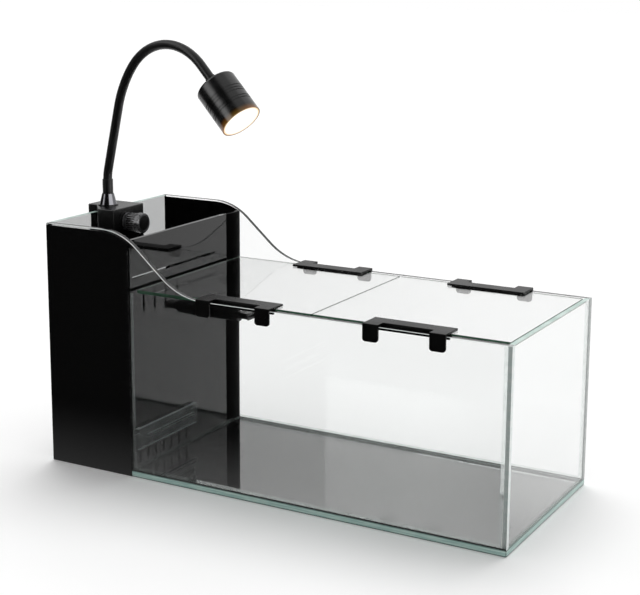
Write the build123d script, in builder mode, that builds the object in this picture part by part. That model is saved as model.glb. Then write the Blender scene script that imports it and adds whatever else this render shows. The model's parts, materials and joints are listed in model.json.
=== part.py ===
"""Desktop aquarium with a side filter column, two lift-off lids and a gooseneck lamp.

All sizes are millimetres. X runs from the filter column to the far end, Y from the
front to the back and Z up. The origin is the centre of the underside, on the table.
Places along X are measured from the column's end of the tank, and along Y from its
front, so that each one moves only where the real piece would.
"""
import os
from math import cos, radians, sin, tan

from build123d import *

os.makedirs("parts", exist_ok=True)

# Tank glass
tank_length = 500.0
tank_depth = 205.0
low_rim = 190.0
high_rim = 249.0
pane = 5.0
floor_glass = 6.0
under_film = 0.5
under_film_inset = 1.0
side_film = 0.4
film_margin = 2.0
glass_arris = 0.4
bead = 3.5
column_bead = 3.0
bead_land = 0.2
bead_gap = 0.5

# Sweep of the rim from the tall column down to the low tank
sweep_start = 69.0
shoulder_radius = 62.0
foot_radius = 72.0
sweep_slope = 41.0

# Partition of the filter column
column_width = 100.0
partition_thickness = 4.0
partition_drop = 9.0
slot_width = 3.0
skimmer_rise = 12.0
skimmer_gap = 2.4
skimmer_start = 3.5
skimmer_length = 145.0
upper_slots = 4
upper_slot_first = 22.0
upper_slot_pitch = 18.6
upper_slot_length = 21.0
upper_slot_drop = 15.5
lower_slots = 7
lower_slot_first = 11.5
lower_slot_pitch = 13.55
lower_slot_length = 20.5
lower_slot_lift = 4.0
guard_length = 103.0
guard_height = 21.5
guard_thickness = 3.0
guard_gap = 1.5
guard_lift = 20.0
guard_slot_gap = 2.4
guard_slot_front = 15.0
guard_slot_back = 3.0
guard_pad = 6.0
seal_width = 24.0
seal_depth = 3.6
seal_heel = 1.4

# Chamber divider
divider_place = 113.0
divider_thickness = 3.0
divider_height = 163.0
divider_slots = 5
divider_slot_pitch = 12.0
divider_slot_length = 24.0

# Return outlet through the partition
outlet_place = 139.5
outlet_height = 141.5
close_fit = 0.1
flange_radius = 9.2
flange_thickness = 2.0
collar_radius = 8.0
collar_length = 13.5
thread_radius = 6.5
thread_reach = 14.0
nut_thickness = 5.0
nut_across_flats = 19.0
outlet_bore = 3.5
ball_radius = 6.2
ball_clearance = 0.3
ball_cover = 3.5
ball_neck = 5.0
segment_gap = 1.5
segment_radius = 7.75
segment_length = 21.0
ring_radius = 8.4
ring_width = 2.0
jet_neck = 4.0
jet_gap = 5.5
jet_start_radius = 5.5
jet_taper = 4.5
jet_length = 8.5
jet_width = 15.5
jet_height = 6.2
jet_corner = 2.0
jet_rib_width = 1.2
jet_rib = 0.6
jet_mouth_width = 12.5
jet_mouth_height = 2.6
water_bore = 2.8

# Elbow and hose
elbow_wall = 2.0
elbow_corner = 6.0
elbow_drop = 14.0
barb_radius = 4.5
barb_length = 10.0
barb_bore = 3.0
hose_fit = 0.1
hose_wall = 1.6

# Pump
pump_length = 60.0
pump_width = 35.0
pump_height = 38.0
pump_corner = 3.0
pump_foot = 5.5
pump_foot_radius = 5.5
pump_foot_neck = 3.0
pump_foot_inset = 8.0
pump_cover_thickness = 6.0
cover_slots = 5
cover_slot_pitch = 5.0
cover_slot_width = 2.0
cover_slot_length = 9.0
cover_slot_place = 9.5
rotor_radius = 8.0
rotor_length = 26.0
rotor_clearance = 0.4
impeller_radius = 11.5
impeller_width = 12.0
impeller_plate = 2.0
impeller_hub = 4.5
impeller_blades = 6
blade_thickness = 1.6
chamber_radius = 13.0
chamber_depth = 18.0
shaft_radius = 1.5
shaft_seat = 3.0
running_fit = 0.05
end_play = 0.8
pump_gland_radius = 4.0
pump_gland_length = 6.0
pump_gland_bore = 2.6

# Media basket and what it holds
basket_wall = 2.0
basket_gap = 1.0
basket_seat = 0.3
basket_height = 140.0
basket_slots = 8
basket_slot_pitch = 11.0
basket_slot_length = 42.0
basket_slot_width = 4.0
basket_slot_lift = 8.0
basket_hole_rows = 6
basket_hole_pitch = 12.0
basket_hole_radius = 3.0
handle_width = 10.0
handle_height = 12.0
handle_bar = 4.0
handle_post = 6.0
media_gap = 0.5
sponge_height = 50.0
floss_height = 15.0
ceramic_outer = 8.5
ceramic_inner = 4.0
ceramic_height = 16.0
ceramic_spacing = 0.8
ceramic_layers = 2

# Lids and their clips
lid_thickness = 3.0
lid_rise = 0.5
lid_edge = 10.0
lid_end_gap = 4.5
lid_split = 0.6
clip_length = 81.0
clip_plate = 2.0
clip_reach = 24.0
clip_web = 2.0
clip_ledge = 1.7
clip_ledge_reach = 14.0
clip_ledge_inset = 4.0
clip_fit = 0.05
clip_tab_width = 15.5
clip_tab_drop = 14.5
clip_tab_thickness = 2.0
clip_tab_gap = 0.2
clip_corner = 3.0
clip_edge = 0.4
clip_overlap = 7.0
clip_right_shift = 1.5

# Lamp clamp on the column's end pane
clamp_front = 58.0
clamp_jaw_front = 78.0
clamp_back = 111.0
clamp_jaw = 8.5
clamp_depth = 39.0
clamp_bevel_start = 3.0
clamp_bevel_end = 20.0
clamp_over_rim = 7.0
clamp_height = 39.0
clamp_throat = 11.0
clamp_edge = 1.2
outer_pad = 0.8
outer_pad_inset = 2.0
inner_pad = 3.0
inner_pad_radius = 7.0
inner_pad_recess = 1.5
knob_place = 82.0
screw_radius = 2.9
screw_tip_radius = 2.0
screw_drop = 8.0
screw_clearance = 0.3
bush_radius = 5.0
bush_length = 12.0
knob_gap = 0.6
knob_ring_radius = 10.0
knob_ring = 2.4
knob_waist_radius = 8.4
knob_waist = 1.6
knob_grip_radius = 9.6
knob_grip = 11.0
knob_flutes = 24
knob_flute_radius = 0.9
knob_cap_radius = 10.5
knob_cap = 6.0
knob_cap_edge = 1.0
knob_dish = 0.6
knob_dish_radius = 8.2
knob_bore = 13.0
gland_radius = 4.0
gland_length = 6.0
gland_bore = 2.4
gland_inset = 9.0

# Gooseneck
neck_x = 13.0
neck_y = 84.5
neck_heading = -10.0
neck_radius = 4.65
boss_radius = 10.5
boss_height = 1.0
cone_base = 9.0
cone_top = 6.25
cone_height = 11.0
stud_radius = 3.0
stud_length = 8.0
stud_end_gap = 0.5
ferrule_radius = 5.5
ferrule_height = 15.0
neck_first_radius = 40.0
neck_first_turn = 14.7
neck_straight = 68.0
neck_second_radius = 112.7
neck_second_turn = 24.7
neck_arch_radius = 65.5
neck_arch_turn = 94.6
neck_last_run = 25.0
neck_links = 8
link_ball = 3.6
link_clearance = 0.3
link_rim = 1.5
link_gap = 2.6

# Lamp head
head_ferrule_radius = 5.25
head_ferrule_length = 9.0
head_radius = 20.75
head_length = 47.0
head_wall = 2.2
head_roof = 3.0
head_edge = 2.5
head_grooves = (0.375, 0.44, 0.505, 0.65, 0.71)
groove_width = 0.9
groove_depth = 0.7
bezel_length = 6.5
bezel_lip = 1.2
lens_thickness = 2.0
lens_recess = 0.8
lens_fit = 0.2
sink_fin_height = 9.0
sink_fins = 16
sink_fin_thickness = 1.2
sink_plate = 3.0
sink_hub = 6.0
board_radius = 15.0
board_thickness = 1.6
chip_radius = 5.0
chip_height = 0.8
reflector_throat = 7.0
reflector_wall = 1.0

# Places worked out from the sizes
left = -tank_length / 2
right = tank_length / 2
front = -tank_depth / 2
back = tank_depth / 2
in_left, in_right = left + pane, right - pane
in_front, in_back = front + pane, back - pane
floor_top = under_film + floor_glass
wall_face = left + column_width
wall_rear = wall_face - partition_thickness
partition_top = high_rim - partition_drop
sweep_radii = shoulder_radius + foot_radius
sweep_fall = high_rim - low_rim - sweep_radii * (1 - cos(radians(sweep_slope)))
sweep_run = sweep_radii * sin(radians(sweep_slope)) + sweep_fall / tan(radians(sweep_slope))
sweep_end = left + sweep_start + sweep_run


def write(builder, name):
    """Label a finished piece and write it under its own name."""
    builder.part.label = name
    export_step(builder.part, f"parts/{name}.step")


def slab(x_span, y_span, z_span, mode=Mode.ADD):
    """A square block between two places on each axis."""
    low = [min(span) for span in (x_span, y_span, z_span)]
    size = [abs(span[1] - span[0]) for span in (x_span, y_span, z_span)]
    with Locations(tuple(low)):
        Box(*size, align=(Align.MIN, Align.MIN, Align.MIN), mode=mode)


def rod(plane, radius, length, mode=Mode.ADD):
    """A round bar of the given length that starts on the plane."""
    with Locations(plane):
        Cylinder(radius, length, align=(Align.CENTER, Align.CENTER, Align.MIN), mode=mode)


def band(start, end, inner, outer, mode=Mode.ADD):
    """A rectangle of a turned profile: start to end along its axis, between two radii."""
    with Locations(((start + end) / 2, (inner + outer) / 2)):
        Rectangle(end - start, outer - inner, mode=mode)


def ball(place, radius, mode=Mode.ADD):
    """The half circle of a turned ball or socket, centred on its axis."""
    with BuildSketch(mode=Mode.PRIVATE) as half:
        Circle(radius)
        Rectangle(2 * radius, radius, align=(Align.CENTER, Align.MIN), mode=Mode.INTERSECT)
    with Locations((place, 0)):
        add(half.sketch, mode=mode)


def level_plane(place, height):
    """The level plane at a height, with its origin at a place in plan."""
    return Plane(origin=(*place, height))


def upright_plane(y):
    """The plane across the tank at y, drawn in X and Z, which faces the front."""
    return Plane.XZ.offset(-y)


def rim_outline(drop):
    """The edge of a long pane: flat high rim, sweep, flat low rim, all lowered by drop."""
    start = left + sweep_start
    high, low = high_rim - drop, low_rim - drop
    shoulder = CenterArc((start, high - shoulder_radius), shoulder_radius, 90, -sweep_slope)
    foot = CenterArc((sweep_end, low + foot_radius), foot_radius, 270, -sweep_slope)
    Line(shoulder @ 1, foot @ 1)
    Polyline((start, high), (left, high), (left, under_film), (right, under_film), (right, low), (sweep_end, low))


# Floor

with BuildPart() as base_film:
    slab(
        (left + under_film_inset, right - under_film_inset),
        (front + under_film_inset, back - under_film_inset),
        (0, under_film),
    )
write(base_film, "base_film")

with BuildPart() as base_glass:
    slab((left, right), (front, back), (under_film, floor_top))
    chamfer(base_glass.edges().filter_by(Axis.Z), glass_arris)
write(base_glass, "base_glass")

# Long panes, standing on the floor glass

for name, y, lean in (("front_pane", front, -pane), ("back_pane", back, pane)):
    with BuildPart() as long_pane:
        with BuildSketch(upright_plane(y)):
            with BuildLine():
                rim_outline(0)
            make_face()
        extrude(amount=lean)
        slab((left, right), (front, back), (under_film, floor_top), Mode.SUBTRACT)
    write(long_pane, name)

# End panes between the long ones

with BuildPart() as left_pane:
    slab((left, in_left), (in_front, in_back), (floor_top, high_rim))
write(left_pane, "left_pane")

with BuildPart() as right_pane:
    slab((in_right, right), (in_front, in_back), (floor_top, low_rim))
write(right_pane, "right_pane")

# Black film outside the column's long faces

for name, y, lean in (("column_front_film", front, side_film), ("column_back_film", back, -side_film)):
    with BuildPart() as film:
        with BuildSketch(upright_plane(y)):
            with BuildLine():
                rim_outline(film_margin)
            make_face()
            with Locations((left, under_film)):
                Rectangle(column_width, high_rim, align=(Align.MIN, Align.MIN), mode=Mode.INTERSECT)
        extrude(amount=lean)
    write(film, name)

# Partition between the column and the tank, with its comb of slots

with BuildPart() as partition:
    slab((wall_rear, wall_face), (in_front, in_back), (floor_top, partition_top))
    with BuildSketch(Plane.YZ.offset(wall_rear)):
        with Locations((in_front + skimmer_start + skimmer_length / 2, low_rim + skimmer_rise)):
            SlotOverall(skimmer_length, skimmer_gap)
        for slot in range(upper_slots):
            with Locations((in_front + upper_slot_first + slot * upper_slot_pitch, low_rim - upper_slot_drop)):
                SlotOverall(upper_slot_length, slot_width, rotation=90)
        for slot in range(lower_slots):
            middle = floor_top + lower_slot_lift + lower_slot_length / 2
            with Locations((in_front + lower_slot_first + slot * lower_slot_pitch, middle)):
                SlotOverall(lower_slot_length, slot_width, rotation=90)
        with Locations((in_front + outlet_place, outlet_height)):
            Circle(thread_radius + close_fit)
    extrude(amount=partition_thickness, mode=Mode.SUBTRACT)
write(partition, "partition")

# Clear strip held off the partition in front of the lower slots

guard_front = in_front + bead + bead_gap
guard_back = guard_front + guard_length
guard_face = wall_face + guard_gap
guard_bottom = floor_top + guard_lift
guard_top = guard_bottom + guard_height
guard_slot_y = (guard_front + guard_slot_front, guard_back - guard_slot_back)
with BuildPart() as intake_guard:
    slab((guard_face, guard_face + guard_thickness), (guard_front, guard_back), (guard_bottom, guard_top))
    with BuildSketch(Plane.YZ.offset(guard_face)):
        with Locations((sum(guard_slot_y) / 2, (guard_bottom + guard_top) / 2)):
            SlotOverall(guard_slot_y[1] - guard_slot_y[0], guard_slot_gap)
    extrude(amount=guard_thickness, mode=Mode.SUBTRACT)
    for pad_front in (guard_front, guard_back - guard_pad):
        slab((wall_face, guard_face), (pad_front, pad_front + guard_pad), (guard_top - guard_pad, guard_top))
write(intake_guard, "intake_guard")

# Rounded black seal in the rear corner of the partition

with BuildPart() as corner_seal:
    with BuildSketch(Plane.XY.offset(floor_top + bead)):
        with BuildLine():
            crown = ThreePointArc(
                (wall_face, in_back - seal_width),
                (wall_face + seal_depth, in_back - seal_width / 2),
                (wall_face + seal_heel, in_back),
            )
            Polyline(crown @ 1, (wall_face, in_back), crown @ 0)
        make_face()
    extrude(amount=partition_top - floor_top - bead)
write(corner_seal, "corner_seal")


def foot_bead(x_span, y_span, size):
    """A bead of silicone all round the foot of a rectangular space."""
    wide, deep = x_span[1] - x_span[0], y_span[1] - y_span[0]
    slab(x_span, y_span, (floor_top, floor_top + size))
    with BuildSketch(level_plane((sum(x_span) / 2, sum(y_span) / 2), floor_top)) as space:
        Rectangle(wide - 2 * (size + bead_land), deep - 2 * (size + bead_land))
    extrude(space.sketch, amount=size, taper=-45, mode=Mode.SUBTRACT)


def corner_beads(corners, size, top):
    """Upright beads: each corner gives its place and its direction along each wall."""
    with BuildSketch(Plane.XY.offset(floor_top)) as sections:
        for x, y, along_x, along_y in corners:
            with BuildLine():
                Polyline((x, y), (x + along_x * size, y), (x, y + along_y * size), close=True)
            make_face()
    extrude(sections.sketch, amount=top - floor_top)


# Silicone in the corners

with BuildPart() as display_silicone:
    foot_bead((wall_face, in_right), (in_front, in_back), bead)
    corner_beads(
        [(in_right, in_front, -1, 1), (in_right, in_back, -1, -1), (wall_face, in_front, 1, 1)],
        bead, low_rim - film_margin,
    )
write(display_silicone, "display_silicone")

with BuildPart() as column_silicone:
    foot_bead((in_left, wall_rear), (in_front, in_back), column_bead)
    corner_beads(
        [(in_left, in_front, 1, 1), (in_left, in_back, 1, -1),
         (wall_rear, in_front, -1, 1), (wall_rear, in_back, -1, -1)],
        column_bead, partition_top - film_margin,
    )
write(column_silicone, "column_silicone")

# Divider between the media chamber and the pump chamber

divider_front = in_front + divider_place
divider_back = divider_front + divider_thickness
with BuildPart() as chamber_divider:
    slab((in_left, wall_rear), (divider_front, divider_back), (floor_top, floor_top + divider_height))
    chamfer(chamber_divider.edges().filter_by(Axis.Y).group_by(Axis.Z)[0], column_bead + bead_gap)
    with BuildSketch(upright_plane(divider_back)):
        with Locations(((in_left + wall_rear) / 2, floor_top + column_bead + divider_slot_length / 2)):
            with GridLocations(divider_slot_pitch, 1, divider_slots, 1):
                SlotOverall(divider_slot_length, slot_width, rotation=90)
    extrude(amount=divider_thickness, mode=Mode.SUBTRACT)
write(chamber_divider, "chamber_divider")

# Media basket, which lifts out of the column

basket_x = (in_left + column_bead + basket_gap, wall_rear - column_bead - basket_gap)
basket_y = (in_front + column_bead + basket_gap, divider_front - basket_gap)
basket_bottom = floor_top + basket_seat
basket_floor = basket_bottom + basket_wall
basket_top = basket_bottom + basket_height
basket_middle = (sum(basket_x) / 2, sum(basket_y) / 2)
handle_y = (basket_middle[1] - handle_width / 2, basket_middle[1] + handle_width / 2)
with BuildPart() as media_basket:
    slab(basket_x, basket_y, (basket_bottom, basket_top))
    slab(
        (basket_x[0] + basket_wall, basket_x[1] - basket_wall),
        (basket_y[0] + basket_wall, basket_y[1] - basket_wall),
        (basket_floor, basket_top),
        Mode.SUBTRACT,
    )
    with BuildSketch(Plane.YZ.offset(basket_x[0])):
        with Locations((basket_middle[1], basket_floor + basket_slot_lift + basket_slot_length / 2)):
            with GridLocations(basket_slot_pitch, 1, basket_slots, 1):
                SlotOverall(basket_slot_length, basket_slot_width, rotation=90)
    extrude(amount=basket_x[1] - basket_x[0], mode=Mode.SUBTRACT)
    with BuildSketch(level_plane(basket_middle, basket_bottom)):
        with GridLocations(basket_hole_pitch, basket_hole_pitch, basket_hole_rows, basket_hole_rows):
            Circle(basket_hole_radius)
    extrude(amount=basket_wall, mode=Mode.SUBTRACT)
    slab(basket_x, handle_y, (basket_top, basket_top + handle_height))
    slab(
        (basket_x[0] + handle_post, basket_x[1] - handle_post),
        handle_y,
        (basket_top, basket_top + handle_height - handle_bar),
        Mode.SUBTRACT,
    )
write(media_basket, "media_basket")

media_x = (basket_x[0] + basket_wall + media_gap, basket_x[1] - basket_wall - media_gap)
media_y = (basket_y[0] + basket_wall + media_gap, basket_y[1] - basket_wall - media_gap)
sponge_top = basket_floor + sponge_height
with BuildPart() as filter_sponge:
    slab(media_x, media_y, (basket_floor, sponge_top))
write(filter_sponge, "filter_sponge")

ceramic_pitch = 2 * ceramic_outer + ceramic_spacing
ceramic_columns = int((media_x[1] - media_x[0] + ceramic_spacing) // ceramic_pitch)
ceramic_rows = int((media_y[1] - media_y[0] + ceramic_spacing) // ceramic_pitch)
with BuildPart() as ceramic_rings:
    with BuildSketch(level_plane(basket_middle, sponge_top)):
        with GridLocations(ceramic_pitch, ceramic_pitch, ceramic_columns, ceramic_rows):
            Circle(ceramic_outer)
            Circle(ceramic_inner, mode=Mode.SUBTRACT)
    extrude(amount=ceramic_layers * ceramic_height)
write(ceramic_rings, "ceramic_rings")

floss_bottom = sponge_top + ceramic_layers * ceramic_height
with BuildPart() as filter_floss:
    slab(media_x, media_y, (floss_bottom, floss_bottom + floss_height))
write(filter_floss, "filter_floss")

# Return outlet: places along its axis, from the column towards the tank

outlet_y = in_front + outlet_place
thread_end = wall_rear - thread_reach
collar_start = wall_face + flange_thickness
collar_end = collar_start + collar_length
turn_centre = collar_end - ball_cover
segment_start = collar_end + segment_gap
segment_end = segment_start + segment_length
tilt_centre = segment_end - ball_cover
jet_start = tilt_centre + jet_gap
lips_start = jet_start + jet_taper
lips_end = lips_start + jet_length


def outlet_plane(x):
    """The plane across the return outlet at x, which faces the tank."""
    return Plane(origin=(x, outlet_y, outlet_height), x_dir=(0, 1, 0), z_dir=(1, 0, 0))


outlet_axis = Axis((0, outlet_y, outlet_height), (1, 0, 0))
outlet_profile = Plane(origin=(0, outlet_y, outlet_height), x_dir=(1, 0, 0), z_dir=(0, -1, 0))
socket_radius = ball_radius + ball_clearance
with BuildPart() as outlet_fitting:
    with BuildSketch(outlet_profile):
        band(thread_end, wall_face, outlet_bore, thread_radius)
        band(wall_face, collar_start, outlet_bore, flange_radius)
        band(collar_start, collar_end, outlet_bore, collar_radius)
        ball(turn_centre, socket_radius, Mode.SUBTRACT)
    revolve(axis=outlet_axis)
write(outlet_fitting, "outlet_fitting")

with BuildPart() as outlet_nut:
    with BuildSketch(outlet_plane(wall_rear - nut_thickness)):
        RegularPolygon(nut_across_flats / 2, 6, major_radius=False)
        Circle(thread_radius + close_fit, mode=Mode.SUBTRACT)
    extrude(amount=nut_thickness)
write(outlet_nut, "outlet_nut")

with BuildPart() as outlet_segment:
    with BuildSketch(outlet_profile):
        ball(turn_centre, ball_radius)
        band(turn_centre, segment_start, 0, ball_neck)
        band(segment_start, segment_end, 0, segment_radius)
        band(segment_start, segment_start + ring_width, 0, ring_radius)
        band(turn_centre - ball_radius, segment_end, 0, water_bore, Mode.SUBTRACT)
        ball(tilt_centre, socket_radius, Mode.SUBTRACT)
    revolve(axis=outlet_axis)
write(outlet_segment, "outlet_segment")

with BuildPart() as outlet_jet:
    with BuildSketch(outlet_profile):
        ball(tilt_centre, ball_radius)
        band(tilt_centre, jet_start, 0, jet_neck)
    revolve(axis=outlet_axis)
    with BuildSketch(outlet_plane(jet_start)):
        Circle(jet_start_radius)
    with BuildSketch(outlet_plane(lips_start)):
        RectangleRounded(jet_width, jet_height, jet_corner)
    loft()
    with BuildSketch(outlet_plane(lips_start)):
        RectangleRounded(jet_width, jet_height, jet_corner)
    extrude(amount=jet_length)
    with BuildSketch(outlet_plane(lips_end - jet_rib_width)):
        RectangleRounded(jet_width + 2 * jet_rib, jet_height + 2 * jet_rib, jet_corner)
    extrude(amount=jet_rib_width)
    rod(outlet_plane(tilt_centre - ball_radius), water_bore, lips_start - tilt_centre + ball_radius,
        Mode.SUBTRACT)
    with BuildSketch(outlet_plane(lips_start)):
        Rectangle(jet_mouth_width, jet_mouth_height)
    extrude(amount=jet_length, mode=Mode.SUBTRACT)
write(outlet_jet, "outlet_jet")

# Elbow on the thread, turning the outlet down to the hose

elbow_x = thread_end - elbow_corner
elbow_radius = thread_radius + close_fit + elbow_wall
elbow_bottom = outlet_height - elbow_drop
hose_place = (elbow_x, outlet_y)
with BuildPart() as outlet_elbow:
    rod(outlet_plane(elbow_x), elbow_radius, wall_rear - nut_thickness - bead_gap - elbow_x)
    with Locations((elbow_x, outlet_y, outlet_height)):
        Sphere(elbow_radius)
    rod(level_plane(hose_place, elbow_bottom), elbow_radius, elbow_drop)
    rod(level_plane(hose_place, elbow_bottom - barb_length), barb_radius, barb_length)
    rod(outlet_plane(thread_end), thread_radius + close_fit, thread_reach, Mode.SUBTRACT)
    rod(outlet_plane(elbow_x), outlet_bore, elbow_corner, Mode.SUBTRACT)
    with Locations((elbow_x, outlet_y, outlet_height)):
        Sphere(outlet_bore, mode=Mode.SUBTRACT)
    rod(level_plane(hose_place, elbow_bottom - barb_length), barb_bore, barb_length + elbow_drop,
        Mode.SUBTRACT)
write(outlet_elbow, "outlet_elbow")

# Pump: places along its axis, which lies along X under the hose

pump_bottom = floor_top + pump_foot
pump_top = pump_bottom + pump_height
pump_axis = pump_bottom + pump_height / 2
pump_face = elbow_x + chamber_depth / 2
pump_rear = pump_face + pump_cover_thickness - pump_length
rotor_front = pump_face - end_play - impeller_width
rotor_rear = rotor_front - rotor_length
well_end = rotor_rear - end_play


def pump_plane(x):
    """The plane across the pump's axis at x, which faces the tank."""
    return Plane(origin=(x, outlet_y, pump_axis), x_dir=(0, 1, 0), z_dir=(1, 0, 0))


with BuildPart() as hose:
    rod(level_plane(hose_place, pump_top), barb_radius + hose_fit + hose_wall, elbow_bottom - pump_top)
    rod(level_plane(hose_place, pump_top), barb_radius + hose_fit, elbow_bottom - pump_top, Mode.SUBTRACT)
write(hose, "hose")

with BuildPart() as pump_body:
    with BuildSketch(pump_plane(pump_rear)):
        RectangleRounded(pump_width, pump_height, pump_corner)
    extrude(amount=pump_face - pump_rear)
    rod(level_plane(hose_place, pump_top), barb_radius, barb_length)
    rod(pump_plane(pump_rear - pump_gland_length), pump_gland_radius, pump_gland_length)
    rod(pump_plane(pump_rear - pump_gland_length), pump_gland_bore, pump_gland_length, Mode.SUBTRACT)
    rod(pump_plane(pump_face - chamber_depth), chamber_radius, chamber_depth, Mode.SUBTRACT)
    rod(pump_plane(well_end), rotor_radius + rotor_clearance, pump_face - well_end, Mode.SUBTRACT)
    rod(pump_plane(well_end - shaft_seat), shaft_radius + running_fit, shaft_seat, Mode.SUBTRACT)
    rod(level_plane(hose_place, pump_axis), barb_bore, pump_top + barb_length - pump_axis, Mode.SUBTRACT)
write(pump_body, "pump_body")

with BuildPart() as pump_cover:
    with BuildSketch(pump_plane(pump_face)):
        RectangleRounded(pump_width, pump_height, pump_corner)
        for side in (-1, 1):
            with Locations((0, side * cover_slot_place)):
                with GridLocations(cover_slot_pitch, 1, cover_slots, 1):
                    SlotOverall(cover_slot_length, cover_slot_width, rotation=90, mode=Mode.SUBTRACT)
    extrude(amount=pump_cover_thickness)
    rod(pump_plane(pump_face), shaft_radius + running_fit, shaft_seat, Mode.SUBTRACT)
write(pump_cover, "pump_cover")

with BuildPart() as pump_shaft:
    rod(pump_plane(well_end - shaft_seat), shaft_radius, pump_face - well_end + 2 * shaft_seat)
write(pump_shaft, "pump_shaft")

with BuildPart() as pump_impeller:
    rod(pump_plane(rotor_rear), rotor_radius, rotor_length)
    rod(pump_plane(rotor_front), impeller_radius, impeller_plate)
    rod(pump_plane(rotor_front), impeller_hub, impeller_width)
    with BuildSketch(pump_plane(rotor_front)):
        with PolarLocations(impeller_radius / 2, impeller_blades):
            Rectangle(impeller_radius, blade_thickness)
        Circle(impeller_radius, mode=Mode.INTERSECT)
    extrude(amount=impeller_width)
    rod(pump_plane(rotor_rear), shaft_radius + running_fit, rotor_length + impeller_width, Mode.SUBTRACT)
write(pump_impeller, "pump_impeller")

foot_spread = (pump_length - 2 * pump_foot_inset, pump_width - 2 * pump_foot_inset)
with BuildPart() as pump_feet:
    with Locations((pump_rear + pump_length / 2, outlet_y, floor_top)):
        with GridLocations(*foot_spread, 2, 2):
            Cone(
                pump_foot_radius, pump_foot_neck, pump_foot,
                align=(Align.CENTER, Align.CENTER, Align.MIN),
            )
write(pump_feet, "pump_feet")

# Lids

lid_top = low_rim + lid_rise
lid_bottom = lid_top - lid_thickness
lid_left_end = wall_face + lid_end_gap
lid_right_end = in_right - lid_split
lid_join = (lid_left_end + lid_right_end) / 2
lid_spans = {
    "lid_left": (lid_left_end, lid_join - lid_split / 2),
    "lid_right": (lid_join + lid_split / 2, lid_right_end),
}
for name, span in lid_spans.items():
    with BuildPart() as lid:
        slab(span, (front + lid_edge, back - lid_edge), (lid_bottom, lid_top))
        chamfer(lid.edges().filter_by(Axis.Z), glass_arris)
    write(lid, name)


def clip(start, edge, inward):
    """One clip: start is its end along X, edge the pane's outer face, inward +1 or -1 in Y."""
    end = start + clip_length
    tab_face = edge - inward * clip_tab_gap
    outer = tab_face - inward * clip_tab_thickness
    web_face = edge + inward * (lid_edge - clip_fit)
    web = web_face - inward * clip_web
    with BuildPart() as piece:
        slab((start, end), (web, edge + inward * clip_reach), (lid_top, lid_top + clip_plate))
        for arm in (start, end - clip_tab_width):
            slab((arm, arm + clip_tab_width), (outer, web), (lid_top, lid_top + clip_plate))
            slab((arm, arm + clip_tab_width), (outer, tab_face), (lid_top - clip_tab_drop, lid_top))
        slab((start, end), (web, web_face), (lid_bottom - clip_ledge, lid_top))
        slab((start + clip_ledge_inset, end - clip_ledge_inset),
             (web, web + inward * clip_ledge_reach), (lid_bottom - clip_ledge, lid_bottom))
        fillet(piece.edges().filter_by(Axis.Y).group_by(Axis.Z)[0], clip_corner)
        chamfer(piece.edges().filter_by(Axis.X).group_by(Axis.Z)[-1], clip_edge)
    return piece


# Clips, which grip a lid's edge and hook over the rim of the long pane

clip_left = sweep_end - clip_overlap
clip_right = sum(lid_spans["lid_right"]) / 2 - clip_length / 2 + clip_right_shift
write(clip(clip_left, front, 1), "clip_front_left")
write(clip(clip_left, back, -1), "clip_back_left")
write(clip(clip_right, front, 1), "clip_front_right")
write(clip(clip_right, back, -1), "clip_back_right")

# Lamp clamp, hung over the rim of the end pane

clamp_top = high_rim + clamp_over_rim
clamp_bottom = clamp_top - clamp_height
clamp_face = left + clamp_depth
throat_face = left + clamp_throat
knob_y = front + knob_place
screw_height = high_rim - screw_drop
bush_start = clamp_face - bush_length
neck_root = (left + neck_x, front + neck_y)


def screw_plane(x):
    """The plane across the clamp screw at x, which faces the tank."""
    return Plane(origin=(x, knob_y, screw_height), x_dir=(0, 1, 0), z_dir=(1, 0, 0))


with BuildPart() as clamp_body:
    with BuildSketch(Plane.XY.offset(clamp_bottom)) as clamp_outline:
        with BuildLine():
            Polyline(
                (left - clamp_jaw, front + clamp_jaw_front),
                (left + clamp_bevel_start, front + clamp_jaw_front),
                (left + clamp_bevel_end, front + clamp_front),
                (clamp_face, front + clamp_front),
                (clamp_face, front + clamp_back),
                (left - clamp_jaw, front + clamp_back),
                close=True,
            )
        make_face()
        fillet(clamp_outline.vertices(), clamp_edge)
    extrude(amount=clamp_height)
    chamfer(clamp_body.faces().sort_by(Axis.Z)[-1].edges(), clamp_edge / 2)
    slab((left - outer_pad, throat_face), (front + clamp_front, front + clamp_back),
         (clamp_bottom, high_rim), Mode.SUBTRACT)
    rod(level_plane(neck_root, clamp_top), boss_radius, boss_height)
    rod(screw_plane(throat_face), screw_radius + screw_clearance, bush_start - throat_face, Mode.SUBTRACT)
    rod(screw_plane(bush_start), bush_radius + close_fit, bush_length, Mode.SUBTRACT)
write(clamp_body, "clamp_body")

with BuildPart() as clamp_outer_pad:
    slab(
        (left - outer_pad, left),
        (front + clamp_jaw_front + outer_pad_inset, front + clamp_back - outer_pad_inset),
        (clamp_bottom + outer_pad_inset, high_rim - outer_pad_inset),
    )
write(clamp_outer_pad, "clamp_outer_pad")

with BuildPart() as clamp_bush:
    rod(screw_plane(bush_start), bush_radius, bush_length)
    rod(screw_plane(bush_start), screw_radius + close_fit, bush_length, Mode.SUBTRACT)
write(clamp_bush, "clamp_bush")

pad_face = in_left + inner_pad
recess_end = pad_face - inner_pad_recess
with BuildPart() as clamp_pad:
    rod(screw_plane(in_left), inner_pad_radius, inner_pad)
    rod(screw_plane(recess_end), screw_tip_radius + screw_clearance, inner_pad_recess, Mode.SUBTRACT)
write(clamp_pad, "clamp_pad")

thread_start = pad_face + screw_clearance
knob_start = clamp_face + knob_gap
waist_start = knob_start + knob_ring
grip_start = waist_start + knob_waist
cap_start = grip_start + knob_grip
cap_end = cap_start + knob_cap
with BuildPart() as clamp_screw:
    rod(screw_plane(recess_end), screw_tip_radius, thread_start - recess_end)
    rod(screw_plane(thread_start), screw_radius, knob_start + knob_bore - thread_start)
write(clamp_screw, "clamp_screw")

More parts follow.
